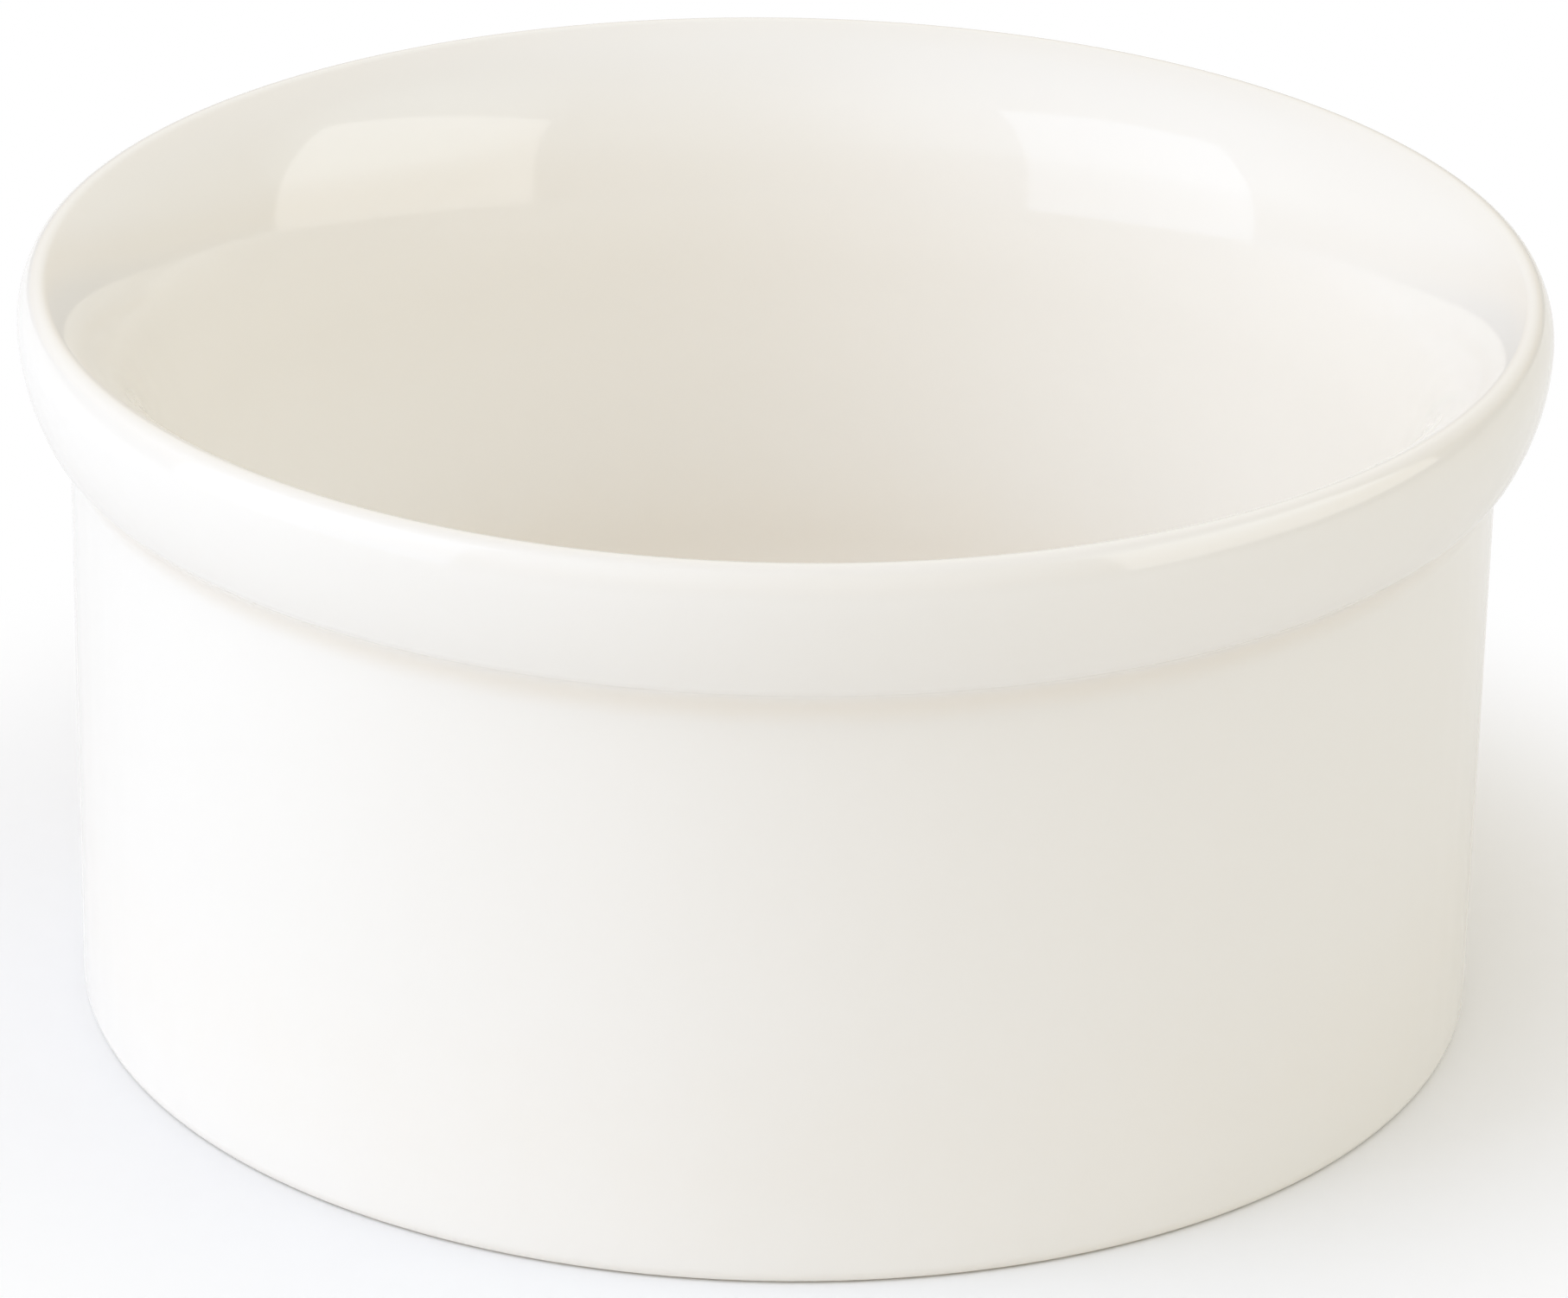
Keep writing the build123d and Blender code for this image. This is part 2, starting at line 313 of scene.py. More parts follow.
class Section:
    """Centres and directions of the ramekin's section, worked out from its sizes."""

    def __init__(self, sizes):
        self.sizes = sizes
        self.wall_facing = -sizes.outer_wall_slope
        self.crest_end = INWARDS - sizes.crest_end_slope
        self.flare_end = INWARDS - sizes.lip_flare_end_slope
        self.inner_facing = INWARDS - sizes.inner_wall_slope
        self.side_facing = sizes.recess_side_slope - INWARDS
        self.place_rim()
        self.place_neck()
        self.place_corner()
        self.place_foot()

    def place_rim(self):
        """The arcs over the rim and down the lip, each touching the one before."""
        s = self.sizes
        reach = s.rim_diameter / 2
        self.wall_distance = (reach - s.rim_overhang) * cos(s.outer_wall_slope)
        crest_rise = (s.rim_upper_radius - s.crest_radius) * sin(s.rim_upper_sweep) + s.crest_radius
        widest_height = s.overall_height - crest_rise
        self.upper = Vector((reach - s.rim_upper_radius, widest_height))
        self.lower = Vector((reach - s.rim_lower_radius, widest_height))
        self.crest = step(self.upper, s.rim_upper_radius - s.crest_radius, s.rim_upper_sweep)
        self.flare = step(self.crest, s.crest_radius - s.lip_flare_radius, self.crest_end)
        self.runout = step(self.flare, s.lip_flare_radius - s.lip_runout_radius, self.flare_end)

    def place_neck(self):
        """The underside arc follows the rim, and the neck fillet joins it to the outer wall."""
        s = self.sizes
        self.underside = step(self.lower, s.rim_lower_radius - s.rim_underside_radius, -s.rim_lower_sweep)
        between = s.rim_underside_radius + s.rim_neck_radius
        reach = self.wall_distance + s.rim_neck_radius - along(self.underside, self.wall_facing)
        self.neck_turn = self.wall_facing - acos(reach / between)
        self.neck = step(self.underside, between, self.neck_turn)

    def place_corner(self):
        """The inner corner touches the sloping inner wall and the floor."""
        s = self.sizes
        corner_distance = along(self.runout, self.inner_facing) + s.lip_runout_radius + s.floor_corner_radius
        self.corner = place_at(s.floor_height + s.floor_corner_radius, corner_distance, self.inner_facing)

    def place_foot(self):
        """The clay foot ring, and the recess inside it."""
        s = self.sizes
        self.glaze_end = self.wall_facing - s.foot_glaze_sweep
        self.foot_clay_radius = s.foot_edge_radius - s.glaze_thickness
        self.foot_edge = place_at(self.foot_clay_radius, self.wall_distance - s.foot_edge_radius, self.wall_facing)
        self.inner_edge = Vector((self.foot_edge.x - s.foot_flat_width, s.recess_edge_radius))
        self.side_start = step(self.inner_edge, s.recess_edge_radius, self.side_facing)
        side_distance = along(self.side_start, self.side_facing) + s.recess_corner_radius
        corner_height = s.recess_depth - s.recess_corner_radius
        self.recess_corner = place_at(corner_height, side_distance, self.side_facing)
        side_end = step(self.recess_corner, s.recess_corner_radius, self.side_facing + INWARDS)
        self.recess_glaze = self.side_start.lerp(side_end, s.recess_glaze_start)

    def skin(self, depth):
        """Strokes at a depth below the glazed surface, from the foot's edge over the rim to the axis."""
        s = self.sizes
        neck_radius = s.rim_neck_radius + depth
        corner_radius = s.floor_corner_radius + depth
        wall_start = step(self.foot_edge, s.foot_edge_radius - depth, self.wall_facing)
        wall_end = step(self.neck, neck_radius, INWARDS + self.wall_facing)
        inner_start = step(self.runout, s.lip_runout_radius - depth, self.inner_facing)
        inner_end = step(self.corner, corner_radius, self.inner_facing - INWARDS)
        floor_start = step(self.corner, corner_radius, DOWNWARDS)
        return [
            Arc(self.foot_edge, s.foot_edge_radius - depth, self.glaze_end, self.wall_facing),
            Run(wall_start, wall_end),
            Arc(self.neck, neck_radius, INWARDS + self.wall_facing, INWARDS + self.neck_turn),
            Arc(self.underside, s.rim_underside_radius - depth, self.neck_turn, -s.rim_lower_sweep),
            Arc(self.lower, s.rim_lower_radius - depth, -s.rim_lower_sweep, OUTWARDS),
            Arc(self.upper, s.rim_upper_radius - depth, OUTWARDS, s.rim_upper_sweep),
            Arc(self.crest, s.crest_radius - depth, s.rim_upper_sweep, self.crest_end),
            Arc(self.flare, s.lip_flare_radius - depth, self.crest_end, self.flare_end),
            Arc(self.runout, s.lip_runout_radius - depth, self.flare_end, self.inner_facing),
            Run(inner_start, inner_end),
            Arc(self.corner, corner_radius, self.inner_facing - INWARDS, DOWNWARDS),
            Run(floor_start, Vector((0.0, s.floor_height - depth))),
        ]

    def recess(self, cover):
        """Strokes at a thickness of glaze over the clay of the recess, from the coat's edge to the axis."""
        s = self.sizes
        radius = s.recess_corner_radius - cover
        start = step(self.recess_glaze, cover, self.side_facing)
        side_end = step(self.recess_corner, radius, self.side_facing + INWARDS)
        ceiling_start = step(self.recess_corner, radius, UPWARDS)
        return [
            Run(start, side_end),
            Arc(self.recess_corner, radius, self.side_facing + INWARDS, UPWARDS),
            Run(ceiling_start, Vector((0.0, s.recess_depth - cover))),
        ]

    def bare_foot(self):
        """Strokes of the bare clay, from the end of the outer coat round the foot ring to the recess's glaze."""
        s = self.sizes
        flat_start = step(self.foot_edge, self.foot_clay_radius, DOWNWARDS)
        flat_end = step(self.inner_edge, s.recess_edge_radius, DOWNWARDS)
        return [
            Arc(self.foot_edge, self.foot_clay_radius, self.glaze_end, DOWNWARDS),
            Run(flat_start, flat_end),
            Arc(self.inner_edge, s.recess_edge_radius, DOWNWARDS, self.side_facing),
            Run(self.side_start, self.recess_glaze),
        ]


def deselect_all():
    """Leaves nothing selected, the construction model's nodes included."""
    bpy.ops.object.select_all(action="DESELECT")


def in_section(place):
    """A place of the section as a point in space."""
    return Vector((place.x, 0.0, place.y))


def begin_section(place):
    """Starts a mesh in edit mode with one selected vertex at a place of the section."""
    deselect_all()
    bpy.ops.mesh.primitive_plane_add(size=MM)
    bpy.ops.object.mode_set(mode="EDIT")
    bpy.ops.mesh.select_all(action="SELECT")
    bpy.ops.mesh.merge(type="CENTER")
    bpy.ops.transform.translate(value=in_section(place))


def draw_run(run, mesh_settings):
    """Extrudes the selected vertex along a straight run, in equal steps."""
    way = in_section(run.end) - in_section(run.start)
    steps = max(1, ceil(way.length / mesh_settings.run_chord))
    for _ in range(steps):
        bpy.ops.mesh.extrude_vertices_move(TRANSFORM_OT_translate={"value": way / steps})


def draw_arc(arc, mesh_settings):
    """Spins the selected vertex about the arc's centre."""
    turn = arc.end - arc.start
    by_turn = abs(turn) / mesh_settings.arc_step
    by_chord = abs(turn) * arc.radius / mesh_settings.arc_chord
    steps = max(1, ceil(max(by_turn, by_chord)))
    bpy.ops.mesh.spin(steps=steps, angle=turn, center=in_section(arc.centre), axis=(0, 1, 0), use_auto_merge=False)


def spun_piece(name, strokes):
    """Draws a section whose ends lie on the axis and spins it into a closed piece."""
    mesh_settings = bpy.context.scene.ramekin_mesh
    begin_section(stroke_start(strokes[0]))
    for stroke in strokes:
        draw = draw_run if isinstance(stroke, Run) else draw_arc
        draw(stroke, mesh_settings)
    bpy.ops.mesh.select_all(action="SELECT")
    bpy.ops.mesh.spin(steps=mesh_settings.spin_steps, angle=2 * pi, center=(0, 0, 0), axis=(0, 0, 1))
    bpy.ops.mesh.select_all(action="SELECT")
    bpy.ops.mesh.remove_doubles(threshold=MERGE_DISTANCE)
    bpy.ops.mesh.normals_make_consistent(inside=False)
    bpy.ops.object.mode_set(mode="OBJECT")
    bpy.ops.object.shade_smooth()
    piece = bpy.context.object
    piece.name = piece.data.name = name
    check_closed(piece)
    return piece


def check_closed(piece):
    """Raises an error if a piece is open or inside out."""
    mesh = bmesh.new()
    mesh.from_mesh(piece.data)
    open_edges = [edge for edge in mesh.edges if not edge.is_manifold]
    volume = mesh.calc_volume(signed=True)
    mesh.free()
    if open_edges or volume <= 0:
        raise RuntimeError(f"{piece.name} has {len(open_edges)} open edges and a volume of {volume}")


def finish_piece(piece, node, material):
    """Gives a piece its material and its place in the construction model."""
    piece.data.materials.append(material)
    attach(piece, "root")
    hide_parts(node)


def glaze_edge(inner, outer):
    """The rounded edge of a coat, from the clay to the coat's surface."""
    across = outer - inner
    middle = (inner + outer) / 2
    facing = atan2(-across.y, -across.x)
    return Arc(middle, across.length / 2, facing, facing + pi)


def add_node(tree, kind, place, **values):
    """Adds a shader node and sets its properties."""
    node = tree.nodes.new(kind)
    node.location = place
    for name, value in values.items():
        setattr(node, name, value)
    return node


def feed(tree, socket, value):
    """Links a socket to another, or sets it to a plain number, vector or colour."""
    if isinstance(value, bpy.types.NodeSocket):
        tree.links.new(value, socket)
    elif isinstance(value, (int, float)):
        socket.default_value = value
    else:
        socket.default_value = (*value, 1.0) if len(socket.default_value) == 4 else value


def calculated(tree, operation, place, *values):
    """The result of a Math node."""
    node = add_node(tree, "ShaderNodeMath", place, operation=operation)
    for socket, value in zip(node.inputs, values):
        feed(tree, socket, value)
    return node.outputs[0]


def eased(tree, place, value, low, high, at_low, at_high):
    """A value that eases from one result to another between two bounds."""
    node = add_node(tree, "ShaderNodeMapRange", place, interpolation_type="SMOOTHSTEP")
    for socket, source in zip(node.inputs, (value, low, high, at_low, at_high)):
        feed(tree, socket, source)
    return node.outputs[0]


def noise(tree, place, scale, detail):
    """A noise over the object, from 0 to 1."""
    position = add_node(tree, "ShaderNodeTexCoord", (place[0] - 200, place[1]))
    node = add_node(tree, "ShaderNodeTexNoise", place)
    tree.links.new(position.outputs["Object"], node.inputs["Vector"])
    feed(tree, node.inputs["Scale"], scale)
    node.inputs["Detail"].default_value = detail
    return node.outputs[0]


def patches(tree, place, scale, low=NOISE_LOW, high=NOISE_HIGH, detail=3.0):
    """A mask of soft patches over the object, from 0 to 1."""
    cloudy = noise(tree, (place[0] - 200, place[1]), scale, detail)
    return eased(tree, place, cloudy, low, high, 0.0, 1.0)


def varied(tree, place, mask, middle, spread):
    """A value that goes from below its middle to above it with a mask, each time by a share of the middle."""
    return eased(tree, place, mask, NOISE_LOW, NOISE_HIGH, middle * (1 - spread), middle * (1 + spread))


def blended(tree, place, mask, first, second):
    """Two colours mixed by a mask."""
    node = add_node(tree, "ShaderNodeMix", place, data_type="RGBA")
    for index, source in ((0, mask), (6, first), (7, second)):
        feed(tree, node.inputs[index], source)
    return node.outputs[2]


def bumped(tree, place, height, distance, normal=None):
    """A normal tilted by a height."""
    node = add_node(tree, "ShaderNodeBump", place)
    feed(tree, node.inputs["Height"], height)
    feed(tree, node.inputs["Distance"], distance)
    if normal is not None:
        tree.links.new(normal, node.inputs["Normal"])
    return node.outputs["Normal"]


def new_group(name, inputs, outputs):
    """A shader node group with its named inputs, and the sockets at its two ends."""
    tree = bpy.data.node_groups.new(name, "ShaderNodeTree")
    for label, value in inputs.items():
        socket = tree.interface.new_socket(label, in_out="INPUT", socket_type="NodeSocketFloat")
        socket.default_value = value
    for label, kind in outputs.items():
        tree.interface.new_socket(label, in_out="OUTPUT", socket_type=kind)
    given = add_node(tree, "NodeGroupInput", (-1000, 0))
    result = add_node(tree, "NodeGroupOutput", (600, 0))
    return tree, given.outputs, result.inputs


def build_ring_group():
    """How near the surface is to a ring about the axis: 1 on the ring, easing to 0 at its reach."""
    sizes = {"Radius": 40 * MM, "Height": 0.0, "Reach": 2 * MM, "Wander": 0.0}
    tree, given, result = new_group("ring nearness", sizes, {"Nearness": "NodeSocketFloat"})
    position = add_node(tree, "ShaderNodeTexCoord", (-1000, 300))
    split = add_node(tree, "ShaderNodeSeparateXYZ", (-800, 300))
    tree.links.new(position.outputs["Object"], split.inputs[0])
    across = calculated(tree, "MULTIPLY", (-600, 400), split.outputs[0], split.outputs[0])
    along_y = calculated(tree, "MULTIPLY", (-600, 200), split.outputs[1], split.outputs[1])
    squared = calculated(tree, "ADD", (-450, 300), across, along_y)
    radius = calculated(tree, "SQRT", (-300, 300), squared)
    from_radius = calculated(tree, "SUBTRACT", (-150, 300), radius, given["Radius"])
    from_height = calculated(tree, "SUBTRACT", (-150, 100), split.outputs[2], given["Height"])
    square_radius = calculated(tree, "MULTIPLY", (0, 300), from_radius, from_radius)
    square_height = calculated(tree, "MULTIPLY", (0, 100), from_height, from_height)
    square = calculated(tree, "ADD", (80, 200), square_radius, square_height)
    distance = calculated(tree, "SQRT", (150, 200), square)
    stray = calculated(tree, "SUBTRACT", (0, -100), noise(tree, (-200, -100), STRAY_SCALE, 1.0), 0.5)
    stray = calculated(tree, "MULTIPLY", (150, -100), stray, given["Wander"])
    strayed = calculated(tree, "ADD", (300, 100), distance, stray)
    feed(tree, result["Nearness"], eased(tree, (450, 0), strayed, 0.0, given["Reach"], 1.0, 0.0))
    return tree


def build_surface_group():
    """The unevenness of a fired surface: slow waves under a fine texture."""
    sizes = {"Wave Scale": 55.0, "Wave Height": 0.03 * MM, "Grain Scale": 900.0, "Grain Height": 0.002 * MM}
    outputs = {"Normal": "NodeSocketVector", "Grain": "NodeSocketFloat"}
    tree, given, result = new_group("fired surface", sizes, outputs)
    waves = noise(tree, (-500, 200), given["Wave Scale"], 0.0)
    grain = noise(tree, (-500, -100), given["Grain Scale"], 3.0)
    waved = bumped(tree, (-200, 200), waves, given["Wave Height"])
    feed(tree, result["Normal"], bumped(tree, (100, 0), grain, given["Grain Height"], waved))
    feed(tree, result["Grain"], grain)
    return tree


def build_speck_group():
    """Scattered specks: a mask that is 1 in a share of the cells of a Voronoi pattern, near their points."""
    sizes = {"Scale": 400.0, "Size": 0.2, "Share": 0.1}
    tree, given, result = new_group("specks", sizes, {"Mask": "NodeSocketFloat"})
    position = add_node(tree, "ShaderNodeTexCoord", (-800, 200))
    cells = add_node(tree, "ShaderNodeTexVoronoi", (-600, 200))
    tree.links.new(position.outputs["Object"], cells.inputs["Vector"])
    feed(tree, cells.inputs["Scale"], given["Scale"])
    spread = add_node(tree, "ShaderNodeSeparateColor", (-400, 0))
    tree.links.new(cells.outputs["Color"], spread.inputs[0])
    chosen = calculated(tree, "LESS_THAN", (-200, 0), spread.outputs[0], given["Share"])
    size = calculated(tree, "MULTIPLY", (-200, -200), spread.outputs[1], given["Size"])
    near = eased(tree, (0, 200), cells.outputs["Distance"], 0.0, size, 1.0, 0.0)
    feed(tree, result["Mask"], calculated(tree, "MULTIPLY", (300, 100), near, chosen))
    return tree


def shared_group(name):
    """A shared effect, built the first time that a material asks for it."""
    builders = {"ring nearness": build_ring_group, "fired surface": build_surface_group, "specks": build_speck_group}
    return bpy.data.node_groups.get(name) or builders[name]()


def effect(tree, name, place, **values):
    """Places a shared effect in a material with its own values."""
    node = add_node(tree, "ShaderNodeGroup", place, node_tree=shared_group(name))
    for label, value in values.items():
        node.inputs[label.replace("_", " ").title()].default_value = value
    return node.outputs


def ring_mask(tree, place, rings):
    """The nearness to the nearest of some rings, each a place of the section with its reach."""
    masks = [
        effect(
            tree, "ring nearness", (place[0], place[1] - 250 * row), radius=ring.x, height=ring.y, reach=reach,
            wander=reach * STRAY_SHARE,
        )["Nearness"]
        for row, (ring, reach) in enumerate(rings)
    ]
    nearest = masks[0]
    for mask in masks[1:]:
        nearest = calculated(tree, "MAXIMUM", (place[0] + 250, place[1]), nearest, mask)
    return nearest


def new_material(name):
    """A material with its node tree and its Principled shader."""
    material = bpy.data.materials.new(name)
    material.use_nodes = True
    return material, material.node_tree, material.node_tree.nodes["Principled BSDF"]


def glaze_material(name, pools_and_shade, edges):
    """White glaze over porcelain: creamy where it has run together, with the same creamy colour as painted shade in
    the crease and the deep inner corner, and warmer where it is thin over an edge.
    """
    finish = bpy.context.scene.ramekin_glaze
    material, tree, shader = new_material(name)
    surface = effect(
        tree, "fired surface", (-900, -400), wave_scale=finish.ripple_scale, wave_height=finish.ripple_height,
        grain_scale=finish.peel_scale, grain_height=finish.peel_height,
    )
    cloud = patches(tree, (-900, 500), finish.cloud_scale)
    body = blended(tree, (-650, 500), cloud, finish.body_colour, finish.cloud_colour)
    # Painted shade: the pooled colour also darkens the crease under the rim and the deep inner corner
    pooled_and_shaded = blended(tree, (-450, 400), ring_mask(tree, (-1100, 300), pools_and_shade), body, finish.pooled_and_shade_colour)
    thinned = blended(tree, (-250, 300), ring_mask(tree, (-1100, 0), edges), pooled_and_shaded, finish.thin_colour)
    specks = effect(
        tree, "specks", (-900, -200), scale=finish.speck_scale, size=finish.speck_size, share=finish.speck_share
    )
    specked = blended(tree, (-100, 200), specks["Mask"], thinned, finish.speck_colour)
    feed(tree, shader.inputs["Base Color"], specked)
    roughness = varied(tree, (-300, -100), surface["Grain"], finish.gloss_roughness, finish.roughness_spread)
    feed(tree, shader.inputs["Roughness"], roughness)
    feed(tree, shader.inputs["Normal"], surface["Normal"])
    return material


def clay_material(name, contact, reach):
    """Bare fired clay: fine grained and flecked, and rubbed grey where it stands."""
    finish = bpy.context.scene.ramekin_clay
    material, tree, shader = new_material(name)
    surface = effect(
        tree, "fired surface", (-900, -400), wave_scale=finish.wave_scale, wave_height=finish.wave_height,
        grain_scale=finish.grain_scale, grain_height=finish.grain_height,
    )
    mottle = patches(tree, (-900, 500), finish.mottle_scale)
    body = blended(tree, (-650, 500), mottle, finish.body_colour, finish.mottle_colour)
    flecks = effect(
        tree, "specks", (-900, 200), scale=finish.fleck_scale, size=finish.fleck_size, share=finish.fleck_share
    )
    flecked = blended(tree, (-450, 400), flecks["Mask"], body, finish.fleck_colour)
    rubbed = patches(tree, (-700, -100), finish.scuff_scale, RUBBED_LOW, RUBBED_HIGH, detail=4.0)
    scuffs = calculated(tree, "MULTIPLY", (-450, 0), ring_mask(tree, (-900, 0), [(contact, reach)]), rubbed)
    scuffed = blended(tree, (-250, 200), scuffs, flecked, finish.scuff_colour)
    feed(tree, shader.inputs["Base Color"], scuffed)
    roughness = varied(tree, (-300, -100), surface["Grain"], finish.roughness, -finish.roughness_spread)
    feed(tree, shader.inputs["Roughness"], roughness)
    feed(tree, shader.inputs["Normal"], surface["Normal"])
    return material


class RAMEKIN_OT_porcelain_body(Operator):
    """Spin the fired clay: foot ring, floor, wall and rolled rim"""

    bl_idname = "ramekin.porcelain_body"
    bl_label = "Porcelain body"

    def execute(self, context):
        section = Section(context.scene.ramekin_sizes)
        depth = section.sizes.glaze_thickness
        strokes = [*backwards(section.recess(0.0)), *backwards(section.bare_foot()), *section.skin(depth)]
        piece = spun_piece("fired_body", strokes)
        contact = (step(section.foot_edge, section.foot_clay_radius, DOWNWARDS) + section.inner_edge) / 2
        reach = section.sizes.foot_flat_width * context.scene.ramekin_clay.scuff_reach
        material = clay_material("fired clay", Vector((contact.x, 0.0)), reach)
        finish_piece(piece, "porcelain_body", material)
        return {"FINISHED"}


class RAMEKIN_OT_bowl_glaze(Operator):
    """Spin the coat of glaze from the foot ring over the rim to the floor of the bowl"""

    bl_idname = "ramekin.bowl_glaze"
    bl_label = "Bowl glaze"

    def execute(self, context):
        section = Section(context.scene.ramekin_sizes)
        finish = context.scene.ramekin_glaze
        clay = section.skin(section.sizes.glaze_thickness)
        surface = section.skin(0.0)
        edge = glaze_edge(stroke_start(clay[0]), stroke_start(surface[0]))
        piece = spun_piece("glaze_coat", [*backwards(clay), edge, *surface])
        crease = step(section.neck, section.sizes.rim_neck_radius, INWARDS + section.neck_turn / 2)
        floor_corner = step(section.corner, section.sizes.floor_corner_radius, (OUTWARDS + DOWNWARDS) / 2)
        wiped_edge = step(section.foot_edge, section.sizes.foot_edge_radius, section.glaze_end)
        # The crease and corner rings carry painted shade as well as pooled glaze
        pools_and_shade = [(crease, finish.crease_pool_and_shade), (floor_corner, finish.corner_pool_and_shade)]
        edges = [(section.crest, finish.crest_thinning), (wiped_edge, finish.foot_thinning)]
        finish_piece(piece, "bowl_glaze", glaze_material("white glaze", pools_and_shade, edges))
        return {"FINISHED"}


class RAMEKIN_OT_base_glaze(Operator):
    """Spin the coat of glaze in the recess of the underside"""

    bl_idname = "ramekin.base_glaze"
    bl_label = "Base glaze"

    def execute(self, context):
        section = Section(context.scene.ramekin_sizes)
        finish = context.scene.ramekin_glaze
        clay = section.recess(0.0)
        surface = section.recess(section.sizes.glaze_thickness)
        edge = glaze_edge(stroke_start(clay[0]), stroke_start(surface[0]))
        # This section runs the other way round than the bowl's, so its edge turns the other way too
        edge = edge._replace(end=edge.start - pi)
        piece = spun_piece("recess_glaze", [*backwards(clay), edge, *surface])
        ceiling_edge = section.recess_corner + Vector((0.0, section.sizes.recess_corner_radius))
        pools_and_shade = [(ceiling_edge, finish.recess_pool)]
        edges = [(section.recess_glaze, finish.recess_thinning)]
        finish_piece(piece, "base_glaze", glaze_material("recess glaze", pools_and_shade, edges))
        return {"FINISHED"}


class RAMEKIN_OT_studio(Operator):
    """Set the floor, the lamps, the surroundings and the camera"""

    bl_idname = "ramekin.studio"
    bl_label = "Studio"

    def execute(self, context):
        settings = context.scene.ramekin_studio
        add_floor(settings)
        add_panel(settings, "left")
        # The right panel only shows in the glaze. The dish is lit from that side by the right glow.
        mirrored = add_panel(settings, "right")
        mirrored.visible_diffuse = False
        add_surroundings(settings)
        add_camera(settings)
        context.scene.cycles.diffuse_bounces = settings.bounces
        context.scene.cycles.glossy_bounces = settings.bounces
        context.scene.view_settings.view_transform = "Standard"
        return {"FINISHED"}


def seen_directly(tree, place, mirrored):
    """1 for the rays that show the background to the camera, and a share of it for those off or through the glaze."""
    path = add_node(tree, "ShaderNodeLightPath", place)
    shiny = calculated(
        tree, "MAXIMUM", (place[0] + 200, place[1]), path.outputs["Is Glossy Ray"], path.outputs["Is Transmission Ray"]
    )
    partly = calculated(tree, "MULTIPLY", (place[0] + 350, place[1]), shiny, mirrored)
    return calculated(tree, "MAXIMUM", (place[0] + 500, place[1]), path.outputs["Is Camera Ray"], partly)


def add_floor(settings):
    """A pale floor that keeps the object's shadow and fades to white around it."""
    deselect_all()
    bpy.ops.mesh.primitive_circle_add(vertices=FLOOR_SIDES, radius=settings.floor_radius, fill_type="NGON")
    floor = bpy.context.object
    floor.name = floor.data.name = "floor"
    material, tree, paper = new_material("pale floor")
    tooth = noise(tree, (-700, 300), settings.floor_tooth, 2.0)
    darker = [settings.floor_tone * part for part in settings.floor_colour]
    feed(tree, paper.inputs["Base Color"], blended(tree, (-450, 300), tooth, settings.floor_colour, darker))
    paper.inputs["Roughness"].default_value = settings.floor_roughness
    white = add_node(tree, "ShaderNodeEmission", (0, -200))
    position = add_node(tree, "ShaderNodeTexCoord", (-900, -300))
    distance = add_node(tree, "ShaderNodeVectorMath", (-700, -300), operation="LENGTH")
    tree.links.new(position.outputs["Object"], distance.inputs[0])
    inner, outer = settings.shadow_start, settings.shadow_end
    fade = eased(tree, (-450, -300), distance.outputs["Value"], inner, outer, 0.0, 1.0)
    directly = seen_directly(tree, (-900, -500), settings.mirrored_floor)
    mask = calculated(tree, "MULTIPLY", (-200, -300), fade, directly)
    mix = add_node(tree, "ShaderNodeMixShader", (300, 0))
    tree.links.new(mask, mix.inputs[0])
    tree.links.new(paper.outputs[0], mix.inputs[1])
    tree.links.new(white.outputs[0], mix.inputs[2])
    tree.links.new(mix.outputs[0], tree.nodes["Material Output"].inputs[0])
    floor.data.materials.append(material)


def side_settings(settings, side, *names):
    """Values of the settings that exist for the left and the right side."""
    return [getattr(settings, f"{side}_{name}") for name in names]


def add_panel(settings, side):
    """An upright softbox on the left or right, whose edges are seen at their angles from the aim height."""
    tint, strength, azimuth, sides, rises = side_settings(
        settings, side, "colour", "strength", "azimuth", "sides", "rises"
    )
    distance = settings.panel_distance
    low, high = (distance * tan(turn) for turn in sides)
    bottom, top = (settings.aim_height + distance * tan(rise) for rise in rises)
    facing = Vector((sin(azimuth), -cos(azimuth), 0.0))
    across = Vector((cos(azimuth), sin(azimuth), 0.0))
    lamp = bpy.data.lights.new(f"{side} panel", "AREA")
    lamp.shape = "RECTANGLE"
    lamp.size, lamp.size_y = high - low, top - bottom
    lamp.color = tint
    lamp.energy = strength * pi * lamp.size * lamp.size_y
    panel = bpy.data.objects.new(f"{side} panel", lamp)
    bpy.context.scene.collection.objects.link(panel)
    middle = facing * distance + across * (low + high) / 2 + Vector((0.0, 0.0, (bottom + top) / 2))
    panel.matrix_world = Matrix.Translation(middle) @ facing.to_track_quat("Z", "Y").to_matrix().to_4x4()
    return panel


def add_glow(tree, place, direction, under, settings, side):
    """Adds the soft light of a bright place on the left or right to the light of the dome."""
    tint, strength, azimuth, spread = side_settings(
        settings, side, "glow", "glow_strength", "glow_azimuth", "glow_spread"
    )
    level = cos(settings.glow_elevation)
    middle = (level * sin(azimuth), -level * cos(azimuth), sin(settings.glow_elevation))
    nearness = add_node(tree, "ShaderNodeVectorMath", place, operation="DOT_PRODUCT")
    feed(tree, nearness.inputs[0], direction)
    feed(tree, nearness.inputs[1], middle)
    inside = eased(tree, (place[0] + 200, place[1]), nearness.outputs["Value"], cos(spread), 1.0, 0.0, 1.0)
    added = add_node(tree, "ShaderNodeVectorMath", (place[0] + 400, place[1]), operation="MULTIPLY_ADD")
    feed(tree, added.inputs[0], inside)
    feed(tree, added.inputs[1], [strength * part for part in tint])
    feed(tree, added.inputs[2], under)
    return added.outputs[0]


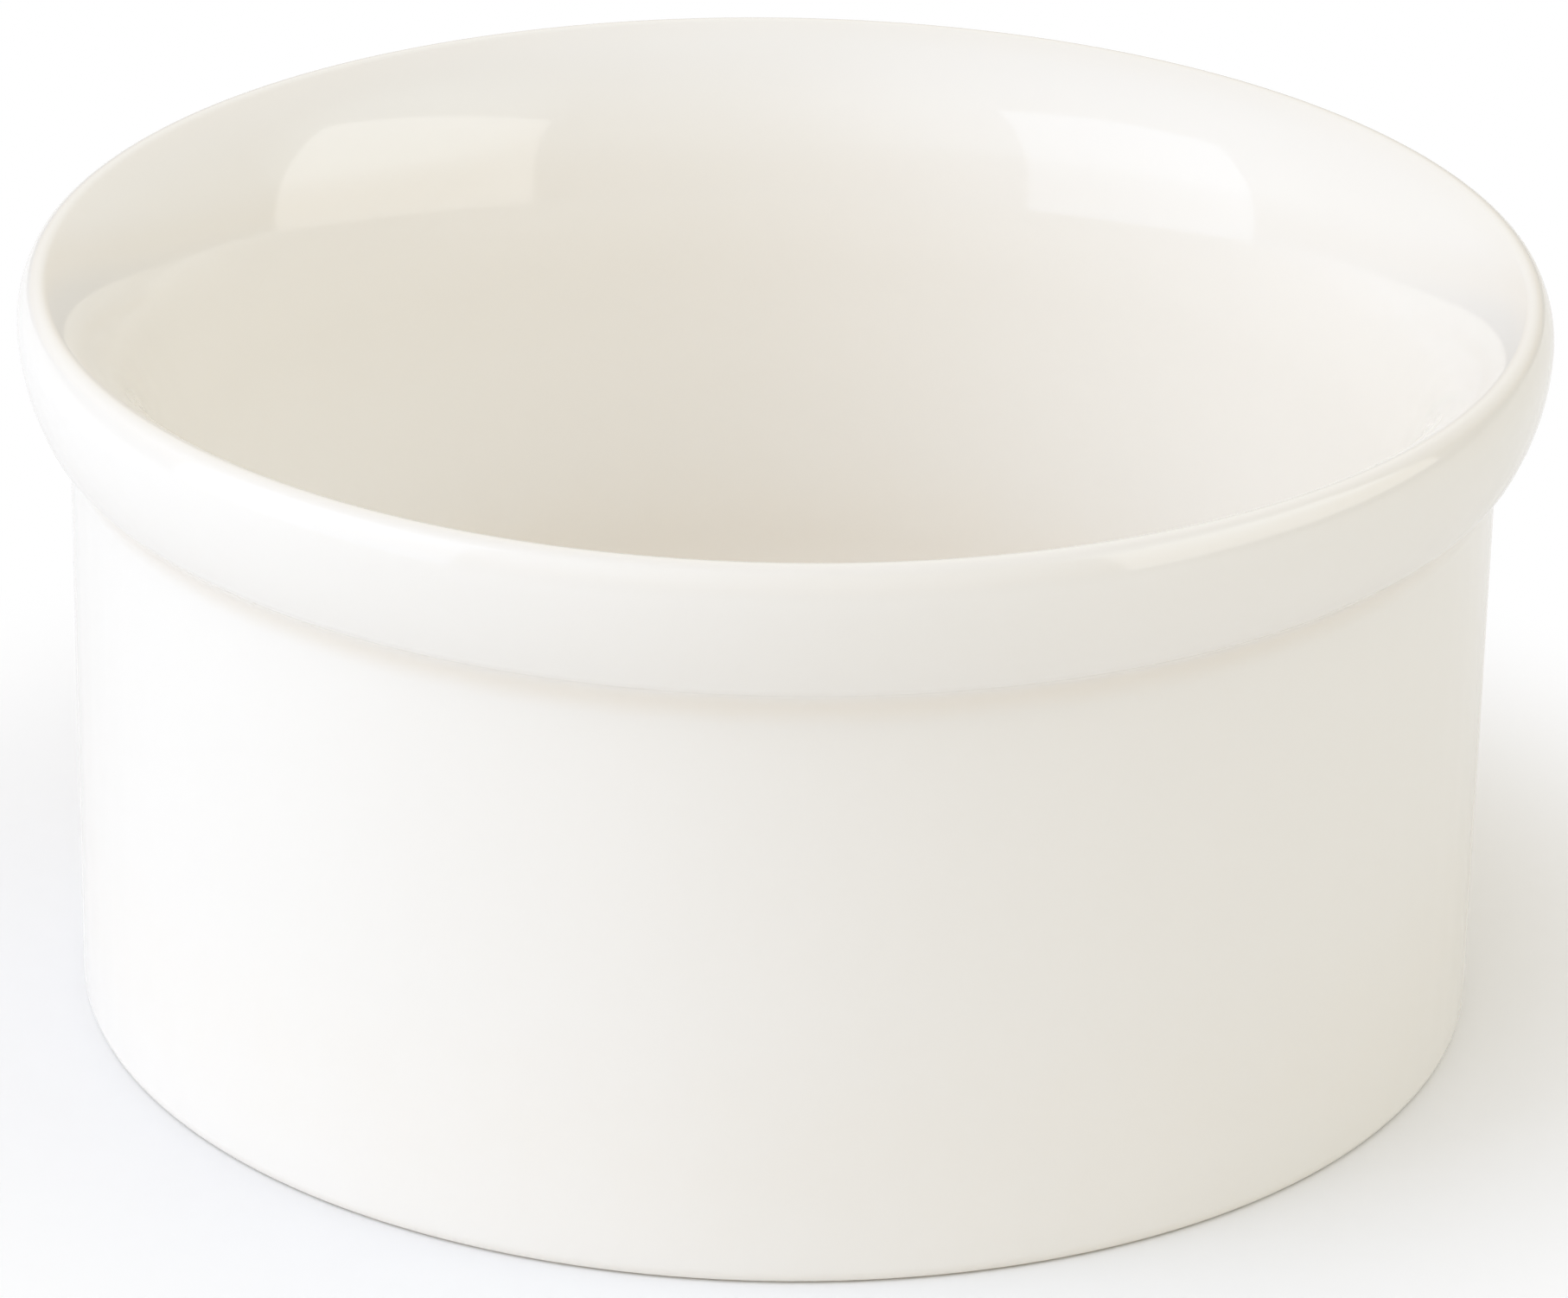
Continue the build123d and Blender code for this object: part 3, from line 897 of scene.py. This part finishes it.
def add_surroundings(settings):
    """A soft dome of light, dimmer near the floor, that shows as plain white behind the object."""
    world = bpy.data.worlds.new("soft dome")
    bpy.context.scene.world = world
    world.use_nodes = True
    tree = world.node_tree
    dome = tree.nodes["Background"]
    coordinates = add_node(tree, "ShaderNodeTexCoord", (-1900, 300))
    direction = coordinates.outputs["Generated"]
    split = add_node(tree, "ShaderNodeSeparateXYZ", (-1700, 300))
    tree.links.new(direction, split.inputs[0])
    rise = split.outputs[2]
    light = settings.horizon_colour
    rises = settings.dome_rises
    colours = (settings.low_colour, settings.dome_colour, settings.high_colour, settings.zenith_colour)
    for index, above in enumerate(colours):
        reached = eased(tree, (-1500 + 200 * index, 100), rise, rises[index], rises[index + 1], 0.0, 1.0)
        light = blended(tree, (-1400 + 200 * index, 300), reached, light, above)
    light = add_glow(tree, (-1500, 600), direction, light, settings, "left")
    light = add_glow(tree, (-900, 600), direction, light, settings, "right")
    feed(tree, dome.inputs["Color"], light)
    white = add_node(tree, "ShaderNodeBackground", (0, -200))
    white.inputs["Color"].default_value = (1.0, 1.0, 1.0, 1.0)
    mix = add_node(tree, "ShaderNodeMixShader", (300, 0))
    behind = eased(tree, (-450, -100), rise, *settings.white_rises, 1.0, 0.0)
    directly = seen_directly(tree, (-1000, -300), settings.mirrored_sky)
    feed(tree, mix.inputs[0], calculated(tree, "MULTIPLY", (0, 100), behind, directly))
    tree.links.new(dome.outputs[0], mix.inputs[1])
    tree.links.new(white.outputs[0], mix.inputs[2])
    tree.links.new(mix.outputs[0], tree.nodes["World Output"].inputs[0])


def add_camera(settings):
    """A camera at the photograph's place: in front of the object, above it, and turned a little about its axis."""
    back = Vector((0.0, -cos(settings.camera_elevation), sin(settings.camera_elevation)))
    right = Vector((1.0, 0.0, 0.0))
    up = back.cross(right)
    turned = Matrix.Rotation(settings.camera_roll, 3, back)
    axes = Matrix((turned @ right, turned @ up, back)).transposed()
    aim = Vector((settings.aim_side, 0.0, settings.aim_height))
    camera_data = bpy.data.cameras.new("camera")
    camera_data.lens = settings.camera_lens
    camera = bpy.data.objects.new("camera", camera_data)
    bpy.context.scene.collection.objects.link(camera)
    camera.matrix_world = Matrix.Translation(aim + back * settings.camera_distance) @ axes.to_4x4()
    bpy.context.scene.camera = camera


class RAMEKIN_PT_sidebar(Panel):
    """The ramekin's tab in the sidebar"""

    bl_idname = "RAMEKIN_PT_sidebar"
    bl_label = "Ramekin"
    bl_space_type = "VIEW_3D"
    bl_region_type = "UI"
    bl_category = "Ramekin"

    def draw(self, context):
        for operator in OPERATORS:
            self.layout.operator(operator.bl_idname)


SETTINGS = {
    "ramekin_sizes": RamekinSizes,
    "ramekin_mesh": RamekinMesh,
    "ramekin_glaze": GlazeFinish,
    "ramekin_clay": ClayFinish,
    "ramekin_studio": StudioSettings,
}
OPERATORS = [RAMEKIN_OT_porcelain_body, RAMEKIN_OT_bowl_glaze, RAMEKIN_OT_base_glaze, RAMEKIN_OT_studio]
CLASSES = [*SETTINGS.values(), *OPERATORS, RAMEKIN_PT_sidebar]


def register():
    for cls in CLASSES:
        bpy.utils.register_class(cls)
    for name, group in SETTINGS.items():
        setattr(bpy.types.Scene, name, PointerProperty(type=group))


def unregister():
    for name in SETTINGS:
        delattr(bpy.types.Scene, name)
    for cls in reversed(CLASSES):
        bpy.utils.unregister_class(cls)


def main():
    register()
    bpy.ops.ramekin.porcelain_body()
    bpy.ops.ramekin.bowl_glaze()
    bpy.ops.ramekin.base_glaze()
    bpy.ops.ramekin.studio()


if __name__ == "__main__":
    main()
